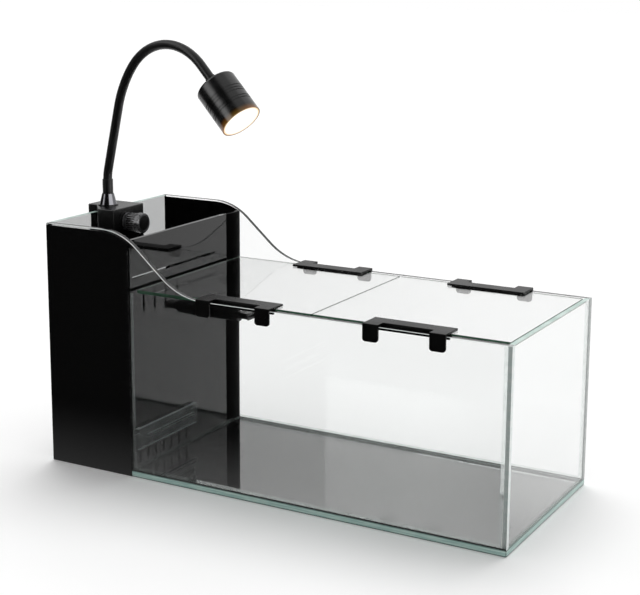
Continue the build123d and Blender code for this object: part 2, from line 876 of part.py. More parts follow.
with BuildPart() as clamp_knob:
    rod(screw_plane(knob_start), knob_ring_radius, knob_ring)
    rod(screw_plane(waist_start), knob_waist_radius, knob_waist)
    with BuildSketch(screw_plane(grip_start)):
        Circle(knob_grip_radius)
        with PolarLocations(knob_grip_radius, knob_flutes):
            Circle(knob_flute_radius, mode=Mode.SUBTRACT)
    extrude(amount=knob_grip)
    rod(screw_plane(cap_start), knob_cap_radius, knob_cap)
    chamfer(clamp_knob.edges().filter_by(GeomType.CIRCLE).sort_by(Axis.X)[-1], knob_cap_edge)
    rod(screw_plane(cap_end - knob_dish), knob_dish_radius, knob_dish, Mode.SUBTRACT)
    rod(screw_plane(knob_start), screw_radius + close_fit, knob_bore, Mode.SUBTRACT)
write(clamp_knob, "clamp_knob")

gland_place = (clamp_face - gland_inset, front + clamp_back - gland_inset)
with BuildPart() as lamp_gland:
    rod(level_plane(gland_place, clamp_bottom - gland_length), gland_radius, gland_length)
    rod(level_plane(gland_place, clamp_bottom - gland_length), gland_bore, gland_length, Mode.SUBTRACT)
write(lamp_gland, "lamp_gland")

# Swivel foot of the gooseneck

cone_bottom = clamp_top + boss_height
ferrule_bottom = cone_bottom + cone_height
neck_bottom = ferrule_bottom + ferrule_height
stud_hole = stud_length + stud_end_gap
with BuildPart() as neck_socket:
    with BuildSketch(level_plane(neck_root, cone_bottom)):
        Circle(cone_base)
    with BuildSketch(level_plane(neck_root, ferrule_bottom)):
        Circle(cone_top)
    loft()
    rod(level_plane(neck_root, ferrule_bottom - stud_hole), stud_radius + running_fit, stud_hole,
        Mode.SUBTRACT)
write(neck_socket, "neck_socket")

with BuildPart() as neck_ferrule:
    rod(level_plane(neck_root, ferrule_bottom), ferrule_radius, ferrule_height)
    rod(level_plane(neck_root, ferrule_bottom - stud_length), stud_radius, stud_length)
write(neck_ferrule, "neck_ferrule")

# Gooseneck: each run is its length and its turn, all in one upright plane

neck_runs = (
    (neck_first_radius * radians(neck_first_turn), neck_first_turn),
    (neck_straight, 0.0),
    (neck_second_radius * radians(neck_second_turn), neck_second_turn),
    (neck_arch_radius * radians(neck_arch_turn), neck_arch_turn),
    (neck_last_run, 0.0),
)
neck_length = sum(length for length, turn in neck_runs)
neck_tube_length = neck_length - head_ferrule_length
neck_side = Vector(sin(radians(neck_heading)), -cos(radians(neck_heading)), 0)


def neck_at(distance):
    """Where the gooseneck's centre line is at a distance along it, and its direction."""
    reach, height, slope = 0.0, neck_bottom, 90.0
    for length, turn in neck_runs:
        step = min(distance, length)
        bend = turn * step / length
        half = radians(bend / 2)
        chord = step * sin(half) / half if half else step
        reach += chord * cos(radians(slope - bend / 2))
        height += chord * sin(radians(slope - bend / 2))
        slope -= bend
        distance -= step
    along_x, along_y = cos(radians(neck_heading)), sin(radians(neck_heading))
    place = Vector(neck_root[0] + reach * along_x, neck_root[1] + reach * along_y, height)
    level = cos(radians(slope))
    return place, Vector(level * along_x, level * along_y, sin(radians(slope)))


def neck_plane(distance):
    """The plane across the gooseneck at a distance along it."""
    place, direction = neck_at(distance)
    return Plane(origin=place, x_dir=neck_side, z_dir=direction)


def neck_tube(start, end):
    """The tube of the gooseneck between two distances along it."""
    passed = 0.0
    with BuildLine() as route:
        for length, turn in neck_runs:
            low, high = max(start, passed), min(end, passed + length)
            passed += length
            if high - low > close_fit:
                ends = [neck_at(low)[0], neck_at((low + high) / 2)[0], neck_at(high)[0]]
                if turn:
                    ThreePointArc(*ends)
                else:
                    Line(ends[0], ends[2])
    with BuildSketch(neck_plane(start)) as section:
        Circle(neck_radius)
    sweep(section.sketch, path=route.line)


link_length = neck_tube_length / neck_links
for link in range(neck_links):
    first, last = link == 0, link == neck_links - 1
    start = link * link_length - (0 if first else link_rim)
    end = (link + 1) * link_length - (0 if last else link_gap)
    with BuildPart() as neck_link:
        neck_tube(start, end)
        if not last:
            with Locations(neck_at((link + 1) * link_length)[0]):
                Sphere(link_ball)
        if not first:
            with Locations(neck_at(link * link_length)[0]):
                Sphere(link_ball + link_clearance, mode=Mode.SUBTRACT)
    write(neck_link, f"neck_link_{link + 1}")

# Lamp head: profiles drawn as distance from its top and radius, turned about its axis

head_top, head_direction = neck_at(neck_length)
head_axis = Axis(head_top, head_direction)
head_profile = Plane(origin=head_top, x_dir=head_direction, z_dir=neck_side)
head_inner = head_radius - head_wall
bezel_start = head_length - bezel_length
lens_back = head_length - lens_recess - lens_thickness
plate_start = head_roof + sink_fin_height
board_start = plate_start + sink_plate
board_face = board_start + board_thickness
lens_radius = head_inner - lens_fit


def head_plane(distance):
    """The plane across the lamp head at a distance from its top."""
    return Plane(origin=head_top + head_direction * distance, x_dir=neck_side, z_dir=head_direction)


with BuildPart() as head_ferrule:
    rod(neck_plane(neck_tube_length), head_ferrule_radius, head_ferrule_length)
write(head_ferrule, "head_ferrule")

with BuildPart() as lamp_shell:
    with BuildSketch(head_profile):
        with BuildLine():
            Polyline(
                (head_edge, head_radius), (bezel_start, head_radius), (bezel_start, head_inner),
                (head_roof, head_inner), (head_roof, 0), (0, 0), (0, head_radius - head_edge),
            )
            CenterArc((head_edge, head_radius - head_edge), head_edge, 90, 90)
        make_face()
        for share in head_grooves:
            with Locations((share * head_length, head_radius)):
                Rectangle(groove_width, 2 * groove_depth, mode=Mode.SUBTRACT)
    revolve(axis=head_axis)
write(lamp_shell, "lamp_shell")

with BuildPart() as lamp_bezel:
    rod(head_plane(bezel_start), head_radius, bezel_length)
    rod(head_plane(bezel_start), head_inner, lens_back + lens_thickness - bezel_start, Mode.SUBTRACT)
    rod(head_plane(bezel_start), head_inner - bezel_lip, bezel_length, Mode.SUBTRACT)
write(lamp_bezel, "lamp_bezel")

with BuildPart() as lamp_lens:
    rod(head_plane(lens_back), lens_radius, lens_thickness)
write(lamp_lens, "lamp_lens")

with BuildPart() as heat_sink:
    rod(head_plane(plate_start), lens_radius, sink_plate)
    rod(head_plane(head_roof), sink_hub, sink_fin_height)
    with BuildSketch(head_plane(head_roof)):
        with PolarLocations(head_inner / 2, sink_fins):
            Rectangle(head_inner, sink_fin_thickness)
        Circle(lens_radius, mode=Mode.INTERSECT)
    extrude(amount=sink_fin_height)
write(heat_sink, "heat_sink")

with BuildPart() as led_board:
    rod(head_plane(board_start), board_radius, board_thickness)
    rod(head_plane(board_face), chip_radius, chip_height)
write(led_board, "led_board")

with BuildPart() as lamp_reflector:
    with BuildSketch(head_profile):
        with BuildLine():
            Polyline(
                (board_face, reflector_throat), (board_face, reflector_throat + reflector_wall),
                (lens_back - reflector_wall, lens_radius), (lens_back, lens_radius),
                (lens_back, lens_radius - reflector_wall), close=True,
            )
        make_face()
    revolve(axis=head_axis)
write(lamp_reflector, "lamp_reflector")
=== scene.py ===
"""Looks of a desktop aquarium with a filter column, clipped lids and a gooseneck lamp.

Metres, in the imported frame: X from the filter column to the far end, Y from the front
to the back, Z up, and the origin under the middle of the tank.
"""

import json
from math import cos, pi, radians, sin, sqrt, tan

import bmesh
import bpy
from mathutils import Matrix, Vector, noise


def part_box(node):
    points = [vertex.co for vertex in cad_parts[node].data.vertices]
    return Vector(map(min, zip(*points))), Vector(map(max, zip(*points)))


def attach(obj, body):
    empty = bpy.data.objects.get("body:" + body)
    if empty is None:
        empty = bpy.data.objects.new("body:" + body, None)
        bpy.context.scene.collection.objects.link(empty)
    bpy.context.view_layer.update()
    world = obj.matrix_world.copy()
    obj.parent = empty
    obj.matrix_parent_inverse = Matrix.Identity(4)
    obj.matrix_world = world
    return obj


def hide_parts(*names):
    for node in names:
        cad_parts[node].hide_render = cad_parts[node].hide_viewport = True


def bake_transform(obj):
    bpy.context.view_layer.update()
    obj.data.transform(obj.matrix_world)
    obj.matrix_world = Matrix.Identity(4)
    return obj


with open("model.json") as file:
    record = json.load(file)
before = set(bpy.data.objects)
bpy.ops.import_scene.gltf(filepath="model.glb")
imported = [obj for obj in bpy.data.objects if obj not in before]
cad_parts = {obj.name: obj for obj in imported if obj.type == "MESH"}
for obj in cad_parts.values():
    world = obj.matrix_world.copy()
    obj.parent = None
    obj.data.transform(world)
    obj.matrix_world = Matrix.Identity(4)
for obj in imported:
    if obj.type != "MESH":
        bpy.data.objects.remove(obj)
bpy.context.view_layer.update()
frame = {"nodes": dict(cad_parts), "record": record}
cad_nodes = frame["nodes"]
scene = bpy.context.scene
MM = 0.001

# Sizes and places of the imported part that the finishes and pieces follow

TANK_LEFT, TANK_FRONT = -0.250, -0.1025
FLOOR_TOP = 0.0065
RIM_HIGH, RIM_LOW = 0.249, 0.190
SWEEP_START, SWEEP_SLOPE = -0.181, radians(41)
SHOULDER_RADIUS, FOOT_RADIUS = 0.062, 0.072
SCREW_Y, SCREW_HEIGHT = -0.0205, 0.241
NECK_ROOT = Vector((-0.237, -0.018, 0.283))
NECK_HEADING = radians(-10)
NECK_RADIUS = 0.00465
NECK_RUNS = (  # length and turn in degrees
    (0.040 * radians(14.7), 14.7),
    (0.068, 0.0),
    (0.1127 * radians(24.7), 24.7),
    (0.0655 * radians(94.6), 94.6),
    (0.025, 0.0),
)
NECK_LINKS = 8
HEAD_FERRULE = 0.009
HEAD_RADIUS, HEAD_LENGTH = 0.02075, 0.047
BEZEL_LENGTH = 0.0065


# Shader expressions

class Value:
    """A number, colour or vector in a shader. Sums and products of it add their own nodes."""

    def __init__(self, shader, socket):
        self.shader, self.socket = shader, socket

    def math(self, operation, *values):
        return self.shader.node("Math", {"operation": operation}, dict(enumerate(values)))

    def __add__(self, other):
        return self.math("ADD", self, other)

    def __sub__(self, other):
        return self.math("SUBTRACT", self, other)

    def __rsub__(self, other):
        return self.math("SUBTRACT", other, self)

    def __mul__(self, other):
        return self.math("MULTIPLY", self, other)

    def __pow__(self, other):
        return self.math("POWER", self, other)

    __radd__, __rmul__ = __add__, __mul__

    def most(self, other):
        return self.math("MAXIMUM", self, other)

    def over(self, edge, soft=0.0):
        """1 above the edge and 0 below it, with a soft step of that width round it."""
        if soft:
            return self.shader.ramped(self, edge - soft / 2, edge + soft / 2)
        return self.math("GREATER_THAN", self, edge)

    def under(self, edge, soft=0.0):
        return 1 - self.over(edge, soft)


class Shader:
    """The nodes of one material or world."""

    def __init__(self, owner):
        owner.use_nodes = True
        self.owner, self.tree = owner, owner.node_tree
        self.tree.nodes.clear()
        kind = "World" if isinstance(owner, bpy.types.World) else "Material"
        self.output = self.tree.nodes.new("ShaderNodeOutput" + kind)

    def node(self, kind, settings=None, sockets=None, out=0):
        made = self.tree.nodes.new("ShaderNode" + kind)
        for name, value in (settings or {}).items():
            setattr(made, name, value)
        for name, value in (sockets or {}).items():
            self.feed(made.inputs[name], value)
        return Value(self, made.outputs[out])

    def feed(self, socket, value):
        if isinstance(value, Value):
            self.tree.links.new(value.socket, socket)
        elif isinstance(value, (tuple, list)) and socket.type == "RGBA":
            socket.default_value = (*value[:3], 1.0)
        else:
            socket.default_value = value

    def ramped(self, value, low, high):
        """A smooth step from 0 at low to 1 at high."""
        return self.node("MapRange", {"interpolation_type": "SMOOTHSTEP"},
                         {"Value": value, "From Min": low, "From Max": high})

    def mixed(self, factor, first, second):
        """The first colour at factor 0, the second at 1."""
        made = self.tree.nodes.new("ShaderNodeMix")
        made.data_type = "RGBA"
        for place, value in ((0, factor), (6, first), (7, second)):
            self.feed(made.inputs[place], value)
        return Value(self, made.outputs[2])

    def place(self):
        """Object coordinates."""
        return self.node("TexCoord", out="Object")

    def parts(self, vector):
        """A vector's three numbers."""
        split = self.tree.nodes.new("ShaderNodeSeparateXYZ")
        self.feed(split.inputs[0], vector)
        return [Value(self, socket) for socket in split.outputs]

    def scaled(self, vector, size):
        return self.node("Mapping", None, {"Vector": vector, "Scale": size})

    def noise(self, vector, scale, detail):
        sockets = {"Vector": vector, "Scale": scale, "Detail": detail}
        return self.node("TexNoise", None, sockets, out="Fac")

    def cells(self, vector, scale):
        return self.node("TexVoronoi", None, {"Vector": vector, "Scale": scale}, out="Distance")

    def bump(self, height, depth):
        return self.node("Bump", None, {"Height": height, "Distance": depth}, out="Normal")

    def principled(self, **sockets):
        """The main shader. A socket's name is written with underscores."""
        return self.node("BsdfPrincipled", None,
                         {name.replace("_", " "): value for name, value in sockets.items()})

    def blended(self, factor, first, second):
        return self.node("MixShader", None, {0: factor, 1: first, 2: second})

    def lit_through(self, solid, tint):
        """Glass that lamps light what is behind it through, tinted a little at each face."""
        path = self.tree.nodes.new("ShaderNodeLightPath")
        lamps = Value(self, path.outputs["Is Shadow Ray"]).most(
            Value(self, path.outputs["Is Diffuse Ray"]))
        return self.blended(lamps, solid, self.node("BsdfTransparent", None, {"Color": tint}))

    def finish(self, surface):
        self.feed(self.output.inputs["Surface"], surface)
        return self.owner


def material(name):
    return Shader(bpy.data.materials.new(name))


# Finishes

def moulded(name, colour, roughness, grain=900.0, depth=0.02, ior=1.5):
    """Moulded plastic or paint: fine grain, soft handling marks and a little uneven sheen."""
    s = material(name)
    where = s.place()
    cloud = s.noise(where, 35.0, 4.0)
    speck = s.noise(where, grain, 2.0)
    shade = s.mixed(s.ramped(cloud, 0.3, 0.75), [c * 0.7 for c in colour], [c * 1.3 for c in colour])
    rough = s.ramped(cloud, 0.2, 0.8) * 0.10 + (roughness - 0.05)
    return s.finish(s.principled(
        Base_Color=shade, Roughness=rough, IOR=ior, Normal=s.bump(speck, depth * MM)))


def knob_finish():
    """Black knob, with painted highlights on its ridges, rims and dial ring."""
    s = material("knob_painted_highlights")
    where = s.place()
    x, y, z = s.parts(where)
    off = ((y - SCREW_Y) ** 2.0 + (z - SCREW_HEIGHT) ** 2.0) ** 0.5
    knob_noise = s.noise(where, 500.0, 3.0)
    # Painted highlights: the ridges, the outer rim and the dial ring are painted bright and a little
    # metallic, in noisy patches.
    ridge_highlight = off.over(9.25 * MM, 0.3 * MM) * off.under(9.75 * MM, 0.2 * MM)
    rim = off.over(9.95 * MM, 0.15 * MM)
    painted_highlight = ridge_highlight.most(rim * 0.7) * s.ramped(knob_noise, 0.3, 0.6)
    dial_highlight = off.over(7.9 * MM, 0.2 * MM) * off.under(8.5 * MM, 0.2 * MM)
    shade = s.mixed(painted_highlight.most(dial_highlight * 0.4), [0.006, 0.006, 0.006], [0.24, 0.24, 0.25])
    rough = s.ramped(knob_noise, 0.3, 0.7) * 0.1 + 0.16
    return s.finish(s.principled(Base_Color=shade, Metallic=painted_highlight * 0.5, Roughness=rough, IOR=1.7,
                                 Normal=s.bump(knob_noise, 0.01 * MM)))


def gloss(name, colour, roughness):
    """Polished sheet: nearly a mirror, with faint haze where it was wiped."""
    s = material(name)
    where = s.place()
    wiped = s.noise(s.scaled(where, (1.0, 1.0, 3.0)), 14.0, 4.0)
    dust = s.noise(where, 420.0, 2.0)
    shade = s.mixed(s.ramped(dust, 0.68, 0.8) * 0.25, colour, [c + 0.012 for c in colour])
    rough = s.ramped(wiped, 0.35, 0.75) * 0.04 + roughness
    return s.finish(s.principled(Base_Color=shade, Roughness=rough, IOR=1.49,
                                 Normal=s.bump(wiped, 0.02 * MM)))


def glass(name, tint, smear, through, roughness=0.0):
    """Clear sheet, with faint wiping smears and a trace of tint."""
    s = material(name)
    where = s.place()
    wiped = s.noise(where, 9.0, 3.0)
    shade = s.mixed(s.ramped(wiped, 0.4, 0.8) * 0.3, tint, smear)
    rough = s.ramped(wiped, 0.5, 0.9) * 0.01 + roughness
    body = s.principled(Base_Color=shade, Roughness=rough, IOR=1.52, Transmission_Weight=1.0)
    return s.finish(s.lit_through(body, through))


def ground_edge(name, pale, deep, roughness):
    """A ground and polished glass edge: pale tint in long streaks, with the grinder's fine lines."""
    s = material(name)
    where = s.place()
    streak = s.noise(s.scaled(where, (6.0, 6.0, 60.0)), 9.0, 3.0)
    grind = s.noise(where, 1400.0, 2.0)
    shade = s.mixed(s.ramped(streak, 0.35, 0.68), pale, deep)
    return s.finish(s.principled(
        Base_Color=shade, Roughness=s.ramped(grind, 0.3, 0.7) * 0.15 + roughness, IOR=1.52,
        Normal=s.bump(grind, 0.01 * MM)))


def bead(name, body, through, milkiness, scale=120.0):
    """Clear silicone or acrylic: see-through with a faint milky body, uneven where it was drawn or wiped."""
    s = material(name)
    where = s.place()
    drawn = s.noise(where, scale, 3.0)
    milk = s.principled(Base_Color=s.mixed(drawn, body, [c * 0.9 for c in body]), Roughness=0.2, IOR=1.41,
                        Normal=s.bump(drawn, 0.1 * MM))
    clear = s.node("BsdfTransparent", None, {"Color": through})
    return s.finish(s.blended(s.ramped(drawn, 0.2, 0.8) * milkiness + milkiness / 2, clear, milk))


def metal(name, colour, roughness):
    """Bare or plated metal: fine marks and a slightly clouded tone."""
    s = material(name)
    where = s.place()
    marks = s.noise(where, 400.0, 3.0)
    cloud = s.noise(where, 60.0, 3.0)
    shade = s.mixed(s.ramped(cloud, 0.3, 0.8), [c * 0.85 for c in colour], colour)
    return s.finish(s.principled(
        Base_Color=shade, Metallic=1.0, Roughness=s.ramped(marks, 0.3, 0.7) * 0.12 + roughness,
        Normal=s.bump(marks, 0.01 * MM)))


def rubbery(name, colour, roughness, scale=260.0, depth=0.05):
    """Rubber, foam, floss or ceramic: a pitted surface with an uneven tone."""
    s = material(name)
    where = s.place()
    cloud = s.noise(where, scale, 4.0)
    shade = s.mixed(s.ramped(cloud, 0.25, 0.8), [c * 0.75 for c in colour], [c * 1.25 for c in colour])
    rough = s.ramped(cloud, 0.2, 0.9) * 0.2 + (roughness - 0.1)
    return s.finish(s.principled(Base_Color=shade, Roughness=rough, Normal=s.bump(cloud, depth * MM)))


finishes = {
    "black_film": gloss("black_film", [0.0025, 0.0025, 0.0025], 0.05),
    "glass": glass("clear_sheet_glass", [0.994, 1.0, 0.997], [0.98, 0.995, 0.988], [0.68, 0.695, 0.69]),
    "grey_glass": glass("grey_sheet_glass", [0.50, 0.505, 0.505], [0.46, 0.465, 0.465], [0.8, 0.8, 0.8]),
    "black_acrylic": gloss("black_sheet_acrylic", [0.004, 0.004, 0.004], 0.02),
    "clear_acrylic": bead("clear_sheet_acrylic", [0.80, 0.83, 0.83], [0.96, 0.97, 0.97], 0.07, 40.0),
    "black_silicone": moulded("black_silicone", [0.002, 0.002, 0.002], 0.45, 300.0, 0.01, ior=1.06),
    "clear_silicone": bead("clear_silicone", [0.86, 0.90, 0.88], [0.97, 0.985, 0.98], 0.07),
    "black_plastic": moulded("black_moulded_plastic", [0.005, 0.005, 0.005], 0.24),
    "clear_hose": glass("clear_vinyl_hose", [0.9, 0.92, 0.9], [0.8, 0.84, 0.82], [0.85, 0.86, 0.85], 0.05),
    "pump_plastic": moulded("pump_plastic", [0.020, 0.020, 0.023], 0.45),
    "impeller_plastic": moulded("impeller_plastic", [0.60, 0.59, 0.55], 0.4),
    "ceramic": rubbery("porous_ceramic", [0.62, 0.55, 0.46], 0.9, 700.0, 0.3),
    "rubber": rubbery("black_rubber", [0.018, 0.018, 0.018], 0.6),
    "basket_plastic": moulded("basket_plastic", [0.016, 0.016, 0.017], 0.42),
    "sponge": rubbery("open_cell_foam", [0.035, 0.05, 0.11], 0.95, 900.0, 0.6),
    "floss": rubbery("white_floss", [0.78, 0.80, 0.82], 0.95, 600.0, 0.6),
    "clip_plastic": moulded("clip_plastic", [0.002, 0.002, 0.002], 0.28, ior=1.25),
    "clamp_paint": moulded("clamp_paint", [0.004, 0.004, 0.004], 0.24, 1500.0, 0.02),
    "brass": metal("brass_bush", [0.72, 0.53, 0.25], 0.25),
    "steel": metal("steel_screw", [0.62, 0.62, 0.63], 0.22),
    "knob_plastic": knob_finish(),
    "black_chrome": metal("black_chrome", [0.16, 0.16, 0.17], 0.08),
    "neck_metal": moulded("neck_sleeve", [0.004, 0.004, 0.004], 0.36, 1200.0, 0.01),
    "lamp_paint": moulded("lamp_paint", [0.0035, 0.0035, 0.0035], 0.22, 1500.0, 0.01, ior=1.65),
    "aluminium": metal("cast_aluminium", [0.72, 0.73, 0.74], 0.35),
    "board": moulded("circuit_board", [0.75, 0.76, 0.74], 0.35),
    "reflector": metal("bright_reflector", [0.88, 0.88, 0.88], 0.12),
}


def floor_edge_finish():
    """The floor glass's edge: pale streaks, with thin lines of painted shade along its two arrises."""
    s = material("floor_glass_edge")
    where = s.place()
    x, y, z = s.parts(where)
    streak = s.noise(s.scaled(where, (5.0, 5.0, 120.0)), 9.0, 3.0)
    shade = s.mixed(s.ramped(streak, 0.35, 0.68), [0.56, 0.74, 0.68], [0.36, 0.56, 0.52])
    # Painted shade: thin dark lines along the bottom and top arrises.
    arris_painted_shade = z.under(1.3 * MM, 0.5 * MM).most(z.over(FLOOR_TOP - 0.9 * MM, 0.5 * MM))
    shade = s.mixed(arris_painted_shade * 0.8, shade, [0.05, 0.09, 0.08])
    return s.finish(s.principled(Base_Color=shade, Roughness=0.25, IOR=1.52,
                                 Normal=s.bump(streak, 0.02 * MM)))


# The near-white edge finish is painted glow and highlight, standing for light through and off the ground
# glass; the grey one is painted shade of the ends seen against the white behind.
top_edge = ground_edge("top_edge", [0.62, 0.76, 0.71], [0.42, 0.58, 0.52], 0.12)
painted_glow_edge = ground_edge("painted_glow_edge", [0.97, 1.0, 0.99], [0.85, 0.93, 0.91], 0.2)
painted_shade_edge = ground_edge("painted_shade_edge", [0.52, 0.55, 0.54], [0.40, 0.43, 0.42], 0.2)
lid_edge = ground_edge("lid_edge", [0.07, 0.16, 0.10], [0.02, 0.06, 0.035], 0.08)
floor_edge = floor_edge_finish()
EDGED = {  # node: each axis that its finished edges face, and their finish
    "front_pane": {0: painted_glow_edge},
    "back_pane": {0: painted_shade_edge},
    "left_pane": {2: top_edge},
    "right_pane": {1: painted_glow_edge, 2: top_edge},
    "base_glass": {0: floor_edge, 1: floor_edge},
    "intake_guard": {2: painted_shade_edge},
    "lid_left": {0: lid_edge, 1: lid_edge},
    "lid_right": {0: lid_edge, 1: lid_edge},
}


def from_lamp_top(s, where):
    """The way from the lamp head's top, and the head's own direction."""
    top, direction = neck_at(NECK_LENGTH)
    return s.node("VectorMath", {"operation": "SUBTRACT"}, {0: where, 1: top}), direction


def along_lamp(s, where):
    """Distance from the lamp head's top, towards its lens."""
    way, direction = from_lamp_top(s, where)
    return s.node("VectorMath", {"operation": "DOT_PRODUCT"}, {0: way, 1: direction}, out="Value")


def off_lamp_axis(s, where):
    """Distance from the lamp head's axis."""
    way, direction = from_lamp_top(s, where)
    across = s.node("VectorMath", {"operation": "CROSS_PRODUCT"}, {0: way, 1: direction})
    return s.node("VectorMath", {"operation": "LENGTH"}, {0: across}, out="Value")


def lens_finish():
    """The lamp's lens, lit warm and nearly white, and warmer at its rim."""
    s = material("lit_lens")
    where = s.place()
    ripple = s.cells(where, 700.0)
    rim = s.ramped(off_lamp_axis(s, where), 0.75 * HEAD_RADIUS, 1.2 * HEAD_RADIUS)
    glow = s.mixed(rim, s.mixed(s.ramped(ripple, 0.1, 0.9) * 0.3, [1.0, 0.95, 0.86], [1.0, 0.98, 0.93]),
                   [0.95, 0.62, 0.26])
    return s.finish(s.principled(Base_Color=[0.8, 0.78, 0.72], Roughness=0.3, Emission_Color=glow,
                                 Emission_Strength=1.3, Normal=s.bump(ripple, 0.1 * MM)))


def bezel_finish():
    """The smoked ring round the lens, with a painted glow: warm on its outside towards the lens, and bright
    on its face next to the lens.
    """
    s = material("smoked_bezel_painted_glow")
    where = s.place()
    off = off_lamp_axis(s, where)
    down = s.ramped(along_lamp(s, where), HEAD_LENGTH - BEZEL_LENGTH, HEAD_LENGTH + 1.0 * MM)
    band = s.noise(where, 30.0, 2.0)
    # Painted glow: the emission stands for the lamp's light inside the smoked ring, warm outside near the
    # lens and near white on its face.
    painted_warm_glow = s.mixed(s.ramped(band, 0.35, 0.65), [0.16, 0.045, 0.002], [0.10, 0.055, 0.006])
    painted_outer_glow = s.mixed(down, [0.0, 0.0, 0.0], painted_warm_glow)
    towards_rim = s.ramped(off, 0.86 * HEAD_RADIUS, 0.95 * HEAD_RADIUS)
    face = s.mixed(towards_rim, [1.0, 0.96, 0.88], [0.95, 0.60, 0.25])
    glow = s.mixed(off.over(0.948 * HEAD_RADIUS, 0.2 * MM), face, painted_outer_glow)
    return s.finish(s.principled(Base_Color=[0.006, 0.005, 0.004], Roughness=0.15, IOR=1.6,
                                 Emission_Color=glow, Emission_Strength=1.0,
                                 Normal=s.bump(band, 0.01 * MM)))


slot_of = {part["node"]: part["material_slot"] for part in frame["record"]["subparts"]}


def dress(obj, finish):
    """Give a piece one finish all over."""
    obj.data.materials.clear()
    obj.data.materials.append(finish)
    for polygon in obj.data.polygons:
        polygon.material_index = 0
    return obj


def dress_edges(obj, edges):
    """Give a sheet's edges their own finishes, by the axis that each face looks along."""
    for axis, finish in edges.items():
        if finish.name not in obj.data.materials:
            obj.data.materials.append(finish)
        place = obj.data.materials.find(finish.name)
        for polygon in obj.data.polygons:
            if abs(polygon.normal[axis]) > 0.9:
                polygon.material_index = place


# Making pieces

def skin(mesh, rings):
    """Faces between each ring of points and the next."""
    for near, far in zip(rings, rings[1:]):
        count = len(near)
        for k in range(count):
            mesh.faces.new((near[k], near[(k + 1) % count], far[(k + 1) % count], far[k]))


def closed_off(mesh, name):
    """The finished mesh under its name, with the working mesh freed."""
    data = bpy.data.meshes.new(name)
    mesh.to_mesh(data)
    mesh.free()
    return data


def piece(name, mesh, body, slot, *replaced, smooth=True):
    """A finished mesh as a named piece that rides on a body, in its slot's finish."""
    obj = bpy.data.objects.new(name, mesh)
    scene.collection.objects.link(obj)
    dress(obj, finishes[slot])
    if smooth:
        for polygon in mesh.polygons:
            polygon.use_smooth = True
    if body:
        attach(obj, body)
    if replaced:
        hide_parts(*replaced)
    return obj


def neck_at(distance):
    """Where the gooseneck's centre line is at a distance along it, and its direction."""
    reach, height, slope = 0.0, 0.0, 90.0
    for length, turn in NECK_RUNS:
        step = min(distance, length)
        bend = turn * step / length
        half = radians(bend / 2)
        chord = step * sin(half) / half if half else step
        reach += chord * cos(radians(slope - bend / 2))
        height += chord * sin(radians(slope - bend / 2))
        slope -= bend
        distance -= step
    level = Vector((cos(NECK_HEADING), sin(NECK_HEADING), 0))
    upright = Vector((0, 0, 1))
    return (NECK_ROOT + level * reach + upright * height,
            level * cos(radians(slope)) + upright * sin(radians(slope)))


NECK_SIDE = Vector((sin(NECK_HEADING), -cos(NECK_HEADING), 0))
NECK_LENGTH = sum(length for length, turn in NECK_RUNS)
TUBE_LENGTH = NECK_LENGTH - HEAD_FERRULE
LINK = TUBE_LENGTH / NECK_LINKS


def turned_tube(name, stops, sides=32):
    """A round sleeve along the gooseneck's line, with its rings at these distances."""
    mesh = bmesh.new()
    rings = []
    for stop in stops:
        centre, direction = neck_at(stop)
        across = direction.cross(NECK_SIDE)
        rings.append([
            mesh.verts.new(centre + (NECK_SIDE * cos(turn) + across * sin(turn)) * NECK_RADIUS)
            for turn in (2 * pi * k / sides for k in range(sides))
        ])
    skin(mesh, rings)
    bmesh.ops.recalc_face_normals(mesh, faces=mesh.faces)
    return closed_off(mesh, name)


def neck_pieces():
    """The gooseneck's sleeve in lengths that meet in the middle of each link."""
    step = LINK / 24
    bodies = [f"neck_{k + 1}" for k in range(NECK_LINKS - 1)] + ["lamp_head"]
    for k in range(NECK_LINKS + 1):
        start = max(0.0, (k - 0.5) * LINK)
        end = min(TUBE_LENGTH, (k + 0.5) * LINK)
        count = round((end - start) / step)
        stops = [start + (end - start) * i / count for i in range(count + 1)]
        mesh = turned_tube(f"neck_sleeve_{k + 1}", stops)
        if k in (0, NECK_LINKS):
            body = bodies[0] if k == 0 else bodies[-1]
            piece(mesh.name, mesh, body, "neck_metal", *(["neck_link_8"] if k else []))
        else:
            obj = piece(mesh.name, mesh, None, "neck_metal", f"neck_link_{k}")
            neck_at(start)[0]
            neck_at(end)[0]
            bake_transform(obj)


neck_pieces()

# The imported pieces' own finishes

finishes["lens"] = lens_finish()
for name, node in cad_nodes.items():
    dress(node, finishes[slot_of[name]])
dress(cad_nodes["lamp_bezel"], bezel_finish())
for name, edges in EDGED.items():
    dress_edges(cad_nodes[name], edges)


def soft_block(name, node, slot, inset, ripple, scale, seed):
    """A block of foam or floss in the basket, in its node's space, with an uneven, rounded surface."""
    low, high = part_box(node)
    mesh = bmesh.new()
    bmesh.ops.create_cube(mesh, size=1.0)
    size, middle = high - low, (low + high) / 2
    for vert in mesh.verts:
        vert.co = Vector([middle[i] + vert.co[i] * (size[i] - 2 * inset) for i in range(3)])
    bmesh.ops.bevel(mesh, geom=mesh.edges[:], offset=3 * MM, segments=3, affect="EDGES", profile=0.6)
    bmesh.ops.triangulate(mesh, faces=mesh.faces[:])
    obj = bpy.data.objects.new(name, closed_off(mesh, name))
    scene.collection.objects.link(obj)
    remesh = obj.modifiers.new("remesh", "REMESH")
    remesh.mode, remesh.voxel_size = "VOXEL", 1.1 * MM
    bpy.context.view_layer.update()
    data = bpy.data.meshes.new_from_object(obj.evaluated_get(bpy.context.evaluated_depsgraph_get()))
    bpy.data.objects.remove(obj)
    data.name = name
    shift = Vector((seed * 7.3, seed * 3.1, seed * 5.7))
    surface = [(vert.co.copy(), vert.normal.copy()) for vert in data.vertices]
    for vert, (place, normal) in zip(data.vertices, surface):
        at = place * scale + shift
        vert.co = place + normal * ripple * (noise.noise(at) - 0.6 + 0.5 * noise.noise(at * 3.1))
    return piece(name, data, "basket", slot, node)


